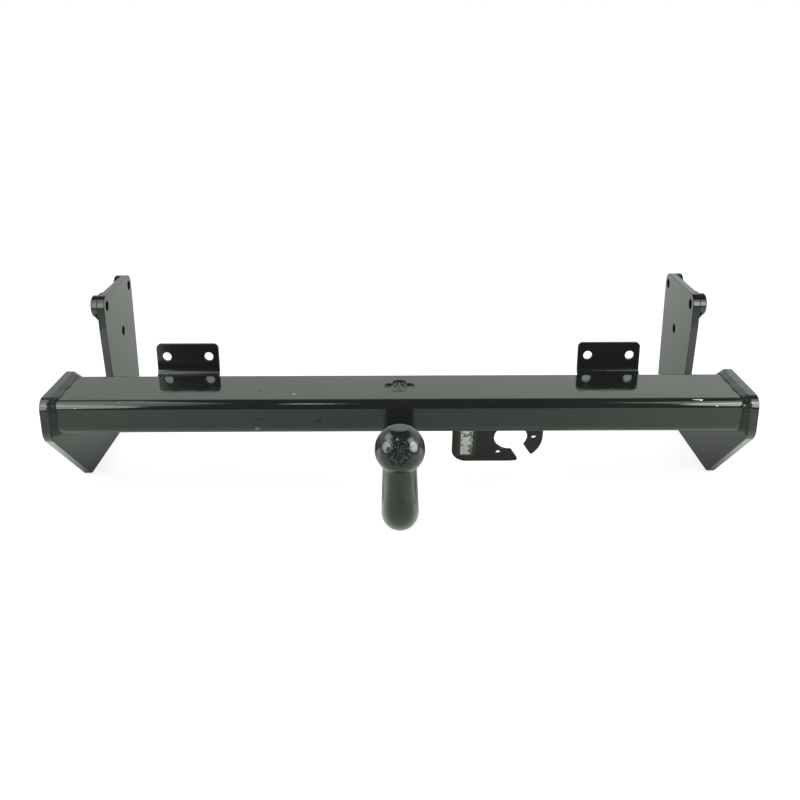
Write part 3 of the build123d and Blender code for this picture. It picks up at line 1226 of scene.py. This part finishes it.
@dataclass
class NeckWelds:
    """Ring bead under the beam and the puddle that fills the opening over the neck's tail.

    Args:
        leg: Leg of the ring bead, in millimetres.
        pitch: Distance between its drops, in millimetres.
        tilt: Fall of the puddle towards the vehicle.
        hollow: Distance behind its middle where it begins to climb again, in millimetres.
        climb: How far it climbs the far wall of the opening, in millimetres.
        ripple: Radius of one ripple of its skin, in millimetres.
        count: Number of ripples.
        spans: Least and greatest place along X and Y and height of a ripple, in millimetres.
        blob: Place and height of the blob at its near rim, in millimetres.
        skin: Grain of its skin, in millimetres.
        facets: Facets round the puddle's rim.
    """

    leg: float = 5.0
    pitch: float = 3.0
    tilt: float = 0.052
    hollow: float = 3.0
    climb: float = 1.1
    ripple: float = 2.0
    count: int = 34
    spans: tuple[Span, Span, Span] = ((-17, 17), (-6, 18), (-0.3, 0.15))
    blob: Point = (1.3, -11.5, 0.9)
    skin: float = 0.45
    facets: int = 64

    def build(self, material: bpy.types.Material) -> None:
        """Lay the ring and pour the puddle.

        Args:
            material: Finish of the ring and the puddle.
        """
        low, high = corners_of("neck_base_weld")
        middle = (low + high) / 2
        radius = (high.x - low.x) / 2 - self.leg * MM
        ring = round_seam(
            Vector((middle.x, middle.y, high.z)),
            Vector((0, 0, -1)),
            radius,
            (self.leg * MM, self.leg * MM),
            self.pitch * MM,
        )
        DropBead("neck_ring_bead", "neck_base_weld", ring, self.pitch, seed=51).build(material)
        self.pour_puddle(material)

    def pour_puddle(self, material: bpy.types.Material) -> None:
        """Fill the lobes of the opening; its edge ends inside the beam's wall.

        Args:
            material: Finish of the puddle.
        """
        low, high = corners_of("neck_plug_weld")
        middle = (low + high) / 2
        bpy.ops.object.select_all(action="DESELECT")
        bpy.ops.mesh.primitive_cylinder_add(
            vertices=self.facets,
            radius=(high.y - low.y) / 2,
            depth=high.z - low.z,
            location=middle,
            end_fill_type="NGON",
        )
        piece = bpy.context.object
        piece.name = "neck_plug_puddle"
        bpy.ops.object.transform_apply()
        apply_modifier(piece, "REMESH", mode="VOXEL", voxel_size=self.skin * MM)
        dice = random.Random(61)
        bumps = [
            tuple(dice.uniform(*span) * MM for span in self.spans) for _ in range(self.count)
        ]
        bumps.append(tuple(value * MM for value in self.blob))
        for vertex in piece.data.vertices:
            if vertex.co.z < middle.z:
                continue
            x, y = vertex.co.x - middle.x, vertex.co.y - middle.y
            far = max(0.0, y / MM - self.hollow) / ((high.y - middle.y) / MM - self.hollow)
            lift = self.climb * far**2 * MM - self.tilt * y
            for bump_x, bump_y, height in bumps:
                gap = ((x - bump_x) ** 2 + (y - bump_y) ** 2) / (self.ripple * MM) ** 2
                lift += height * math.exp(-gap)
            vertex.co.z += lift
        finish_weld(piece, material, "neck_plug_weld", rounds=3)


# Studio


@dataclass
class PhotoCamera:
    """Camera at the reference photograph's viewing angle.

    Args:
        place: Position in metres.
        lens: Focal length, in millimetres.
        sensor: Width of the sensor, in millimetres.
        pitch: Degrees down.
        yaw: Degrees to the right.
        roll: Degrees about the line of sight.
    """

    place: Point = (-0.0018, -0.9216, 0.3885)
    lens: float = 45.81
    sensor: float = 36.0
    pitch: float = 20.09
    yaw: float = 0.128
    roll: float = 0.17

    def build(self) -> None:
        """Add the camera and make it the scene's own."""
        pitch, yaw, roll = (math.radians(a) for a in (self.pitch, self.yaw, self.roll))
        ahead = Vector(
            (
                math.sin(yaw) * math.cos(pitch),
                math.cos(yaw) * math.cos(pitch),
                -math.sin(pitch),
            )
        )
        right = Vector((math.cos(yaw), -math.sin(yaw), 0))
        down = ahead.cross(right)
        across = math.cos(roll) * right + math.sin(roll) * down
        below = math.cos(roll) * down - math.sin(roll) * right
        turn = Matrix((across, -below, -ahead)).transposed().to_4x4()
        data = bpy.data.cameras.new("photo_camera")
        data.lens = self.lens
        data.sensor_width = self.sensor
        data.clip_end = 100.0
        camera = bpy.data.objects.new("photo_camera", data)
        camera.matrix_world = Matrix.Translation(self.place) @ turn
        bpy.context.scene.collection.objects.link(camera)
        bpy.context.scene.camera = camera


class Diffuser(Enum):
    """Outline of a lamp's diffuser."""

    BOX = "RECTANGLE"
    ROUND = "ELLIPSE"


# Power of a lamp for each square metre of diffuser that glows at a radiance of 1.
WATTS_PER_AREA = 4


@dataclass(frozen=True)
class SoftBox:
    """One studio lamp with a flat diffuser.

    Args:
        name: Name of the lamp.
        place: Middle of the diffuser, in metres.
        aim: Point that it faces, in metres.
        size: Width and height, in metres.
        glow: Radiance of the diffuser, where 1 is paper white.
        outline: Outline of the diffuser.
        mirrored: Whether gloss mirrors it.
        tint: Colour of the light.
    """

    name: str
    place: Point
    aim: Point
    size: Span
    glow: float
    outline: Diffuser = Diffuser.BOX
    mirrored: bool = True
    tint: str = "#f8fff7"

    def build(self) -> None:
        """Hang the lamp."""
        data = bpy.data.lights.new(self.name, "AREA")
        data.shape = self.outline.value
        data.size, data.size_y = self.size
        area = self.size[0] * self.size[1]
        if self.outline is Diffuser.ROUND:
            area *= math.pi / 4
        data.energy = WATTS_PER_AREA * area * self.glow
        data.color = linear(self.tint)[:3]
        lamp = bpy.data.objects.new(self.name, data)
        back = (Vector(self.place) - Vector(self.aim)).normalized()
        lamp.matrix_world = Matrix.Translation(self.place) @ (
            back.to_track_quat("Z", "Y").to_matrix().to_4x4()
        )
        lamp.visible_camera = False
        lamp.visible_glossy = self.mirrored
        bpy.context.scene.collection.objects.link(lamp)


LAMPS = (
    SoftBox("overhead_fill", (0, -0.3, 1.6), (0, 0.2, -0.1), (1.6, 1.2), 1.6, mirrored=False),
    SoftBox("left_softbox", (-0.58, -0.28, 0.19), (0, -0.14, 0), (0.6, 0.46), 4.1, Diffuser.ROUND),
    SoftBox("left_scrim", (-0.62, -0.24, 0.52), (-0.2, 0.16, 0), (0.5, 0.36), 1.9),
    SoftBox("rear_scrim", (-0.53, 0.12, 0.55), (-0.3, 0.2, 0), (0.5, 0.34), 2.2),
    SoftBox("right_softbox", (0.58, -0.22, 0.19), (0, -0.12, 0), (0.47, 0.46), 6.6, Diffuser.ROUND),
    SoftBox("right_scrim", (0.63, -0.13, 0.52), (0.25, 0.16, 0), (0.44, 0.36), 2.6),
    SoftBox("top_spot", (-0.2, -0.42, 0.98), (0, 0, 0), (0.12, 0.12), 10.0),
)


@dataclass
class Studio:
    """Plain pale floor, pale wall behind, dark room over and before it, and soft lamps.

    Gloss mirrors a floor of its own: lit up to a line before the towbar, and brighter far behind,
    beside both ends and under the beam. All places are in metres.

    Args:
        floor_colour: Colour of the floor.
        unlit: Its colour before the lit part, as paint mirrors it.
        floor_size: Side of the floor.
        floor_end: Y where the lit part begins to show and where it is fully lit.
        paper_reach: Distance from the middle where the floor's shadow begins to run out to white,
            and where it is all white.
        paper_glow: Light of its own that the camera sees at those two distances.
        rear_glow: Extra brightness far behind.
        rear_reach: Y where it begins and where it is full.
        side_glow: Extra brightness beside the ends.
        side_reach: Distance from the middle along X where it begins and where it is full.
        side_front: Y where it begins and where it is full.
        near_glow: Extra brightness under the beam.
        near_front: Y where it begins and where it is full.
        near_rear: Y where it begins to fade and where it is gone.
        shaded_rear: The same under the socket plate, which shades the floor.
        socket_shade: X of that shade's middle, half its width, and the width of its edge.
        fill: Strength of the room's light on matt surfaces.
        wall_top: Sine of the elevation where the wall begins to fade and where it is gone.
        wall_foot: Share of its light that the wall keeps at the horizon.
        foot_reach: Sine of the elevation at the horizon and where the wall is fully lit.
        wall_front: Direction along Y where the wall begins to fade and where it is gone.
        wall_sides: Direction along X of its left and right.
        wall_glow: Brightness of the wall at its left and at its right.
        dark: Brightness of the rest of the room as paint mirrors it.
        tint: Colour of the room as paint mirrors it.
        lamps: The soft lamps.
    """

    floor_colour: str = "#b6b9b5"
    unlit: str = "#1c1e1c"
    floor_size: float = 40.0
    floor_end: Span = (-0.66, -0.58)
    paper_reach: Span = (0.5, 1.8)
    paper_glow: Span = (0.75, 1.0)
    rear_glow: float = 0.65
    rear_reach: Span = (0.15, 1.4)
    side_glow: float = 1.15
    side_reach: Span = (0.405, 0.45)
    side_front: Span = (-0.1, 0.12)
    near_glow: float = 0.45
    near_front: Span = (-0.05, 0.08)
    near_rear: Span = (0.2, 0.3)
    shaded_rear: Span = (0.1, 0.19)
    socket_shade: Point = (0.121, 0.075, 0.03)
    fill: float = 0.35
    wall_top: Span = (0.66, 0.76)
    wall_foot: float = 0.08
    foot_reach: Span = (0.0, 0.25)
    wall_front: Span = (-0.1, -0.5)
    wall_sides: Span = (-0.4, 0.4)
    wall_glow: Span = (0.74, 0.99)
    dark: float = 0.06
    tint: str = "#f7fff6"
    lamps: Sequence[SoftBox] = LAMPS

    def build(self) -> None:
        """Lay the floor, paint the room and hang the lamps."""
        self.build_floor(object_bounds()[0][2])
        self.build_room()
        for lamp in self.lamps:
            lamp.build()

    def build_floor(self, height: float) -> None:
        """Lay the floor.

        Args:
            height: Z of the lowest point of the towbar, in metres.
        """
        bpy.ops.object.select_all(action="DESELECT")
        bpy.ops.mesh.primitive_plane_add(size=self.floor_size, location=(0, 0, height))
        floor = bpy.context.object
        floor.name = "studio_floor"
        bpy.ops.object.transform_apply()
        floor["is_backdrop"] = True
        # Matt paper gives no gloss, only a soft shadow.
        made, tree, place = start_material("pale_paper_floor")
        ray = add_node(tree, "LightPath").outputs
        axes = add_node(tree, "SeparateXYZ", {}, (place,)).outputs
        mirrored, seen = ray["Is Glossy Ray"], ray["Is Camera Ray"]
        # Close to the towbar the paper keeps its shadow; further off it runs out to white.
        far = add_node(tree, "VectorMath", {"operation": "LENGTH"}, (place,))
        paper = add_node(tree, "MapRange", SMOOTH, (far, *self.paper_reach, *self.paper_glow))
        glow = self.mirrored_glow(tree, axes[0], axes[1])
        extra = add_node(tree, "Math", {"operation": "MULTIPLY"}, (glow, mirrored))
        figures = {0: seen, 2: extra, 3: paper}
        strength = add_node(tree, "Mix", {"data_type": "FLOAT"}, figures)
        before = add_node(tree, "MapRange", SMOOTH, (axes[1], *self.floor_end, 1.0, 0.0))
        unlit = add_node(tree, "Math", {"operation": "MULTIPLY"}, (mirrored, before))
        shades = {0: unlit, 6: linear(self.floor_colour), 7: linear(self.unlit)}
        tone = add_node(tree, "Mix", {"data_type": "RGBA"}, shades)
        shades = {0: seen, 6: linear(self.tint), 7: WHITE}
        shade = add_node(tree, "Mix", {"data_type": "RGBA"}, shades)
        matt = add_node(tree, "BsdfDiffuse", {}, {"Color": tone})
        light = add_node(tree, "Emission", {}, {"Color": shade, "Strength": strength})
        both = add_node(tree, "AddShader", {}, (matt, light))
        add_node(tree, "OutputMaterial", {}, {"Surface": both})
        dress(floor, made)

    def mirrored_glow(self, tree: Tree, x: Socket, y: Socket) -> Node:
        """Extra light of the floor far behind, beside both ends and under the beam.

        Args:
            tree: Node tree of the floor.
            x: Place along X.
            y: Place along Y.

        Returns:
            Strength of the light.
        """
        behind = add_node(tree, "MapRange", {}, (y, *self.rear_reach, 0.0, self.rear_glow))
        width = add_node(tree, "Math", {"operation": "ABSOLUTE"}, (x,))
        figures = (width, *self.side_reach, 0.0, self.side_glow)
        beside = add_node(tree, "MapRange", SMOOTH, figures)
        level = add_node(tree, "MapRange", SMOOTH, (y, *self.side_front, 0.0, 1.0))
        sides = add_node(tree, "Math", {"operation": "MULTIPLY"}, (beside, level))
        middle, reach, edge = self.socket_shade
        aside = add_node(tree, "Math", {"operation": "SUBTRACT"}, (x, middle))
        away = add_node(tree, "Math", {"operation": "ABSOLUTE"}, (aside,))
        clear = add_node(tree, "MapRange", SMOOTH, (away, reach, reach + edge, 0.0, 1.0))
        rear = add_node(tree, "MapRange", SMOOTH, (y, *self.near_rear, 1.0, 0.0))
        open_end = add_node(tree, "Math", {"operation": "MULTIPLY"}, (rear, clear))
        shaded_end = add_node(tree, "MapRange", SMOOTH, (y, *self.shaded_rear, 1.0, 0.0))
        end = add_node(tree, "Math", {"operation": "MAXIMUM"}, (shaded_end, open_end))
        start = add_node(tree, "MapRange", SMOOTH, (y, *self.near_front, 0.0, self.near_glow))
        under = add_node(tree, "Math", {"operation": "MULTIPLY"}, (start, end))
        near = add_node(tree, "Math", {"operation": "MAXIMUM"}, (sides, under))
        return add_node(tree, "Math", {"operation": "MAXIMUM"}, (near, behind))

    def build_room(self) -> None:
        """Paint the world: white to the camera, a lit room to paint and metal."""
        world = bpy.data.worlds.new("pale_room")
        world.use_nodes = True
        tree = world.node_tree
        tree.nodes.clear()
        way = add_node(tree, "TexCoord").outputs["Generated"]
        axes = add_node(tree, "SeparateXYZ", {}, (way,)).outputs
        figures = (axes[0], *self.wall_sides, *self.wall_glow)
        lit = add_node(tree, "MapRange", {}, figures)
        for figures in (
            (axes[2], *self.wall_top, 1.0, 0.0),
            (axes[2], *self.foot_reach, self.wall_foot, 1.0),
            (axes[1], *self.wall_front, 1.0, 0.0),
        ):
            share = add_node(tree, "MapRange", SMOOTH, figures)
            lit = add_node(tree, "Math", {"operation": "MULTIPLY"}, (lit, share))
        room = add_node(tree, "Math", {"operation": "MAXIMUM"}, (lit, self.dark))
        ray = add_node(tree, "LightPath").outputs
        rays = (ray["Is Glossy Ray"], ray["Is Transmission Ray"])
        shiny = add_node(tree, "Math", {"operation": "MAXIMUM"}, rays)
        figures = {0: shiny, 2: self.fill, 3: room}
        matt = add_node(tree, "Mix", {"data_type": "FLOAT"}, figures)
        figures = {0: ray["Is Camera Ray"], 2: matt, 3: 1.0}
        strength = add_node(tree, "Mix", {"data_type": "FLOAT"}, figures)
        shades = {0: shiny, 6: WHITE, 7: linear(self.tint)}
        colour = add_node(tree, "Mix", {"data_type": "RGBA"}, shades)
        sky = add_node(tree, "Background", {}, {"Color": colour, "Strength": strength})
        add_node(tree, "OutputWorld", {}, {"Surface": sky})
        bpy.context.scene.world = world


# The whole


def main() -> None:
    """Build every sub-assembly in order; the pieces log their triangles and the label its size."""
    logging.basicConfig(level=logging.INFO, format="%(name)s %(message)s")
    bpy.context.scene.view_settings.view_transform = "Standard"
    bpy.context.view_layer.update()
    section = GlossPaint(Substrate.ROLLED_SECTION, BEAM_MARKS_AND_SHADE).material()
    forging = GlossPaint(Substrate.FORGING, gloss=(0.14, 0.22), index=1.58).material()
    weld = GlossPaint(Substrate.WELD, gloss=(0.12, 0.3), index=1.38).material()
    plate, strip, disc = (
        GlossPaint(substrate).material()
        for substrate in (Substrate.CUT_PLATE, Substrate.FOLDED_STRIP, Substrate.TURNED_DISC)
    )
    PhotoCamera().build()
    Studio().build()
    PaintedSteel("cross_beam").build(section)
    for side in ("left", "right"):
        PaintedSteel(side + "_side_plate").build(plate)
        PaintedSteel(side + "_bumper_bracket", edge=0.5).build(strip)
        for place in ("front", "rear", "lower"):
            PaintedSteel(f"{side}_{place}_spacer", "painted_disc", 0.4).build(disc)
    PaintedSteel("socket_plate", edge=0.5).build(plate)
    CadDress("swan_neck").build(forging)
    SocketLabel().build()
    for welds in (EndWelds(), SpacerWelds(), BracketWelds(), SocketSeams(), NeckWelds()):
        welds.build(weld)


if __name__ == "__main__":
    main()
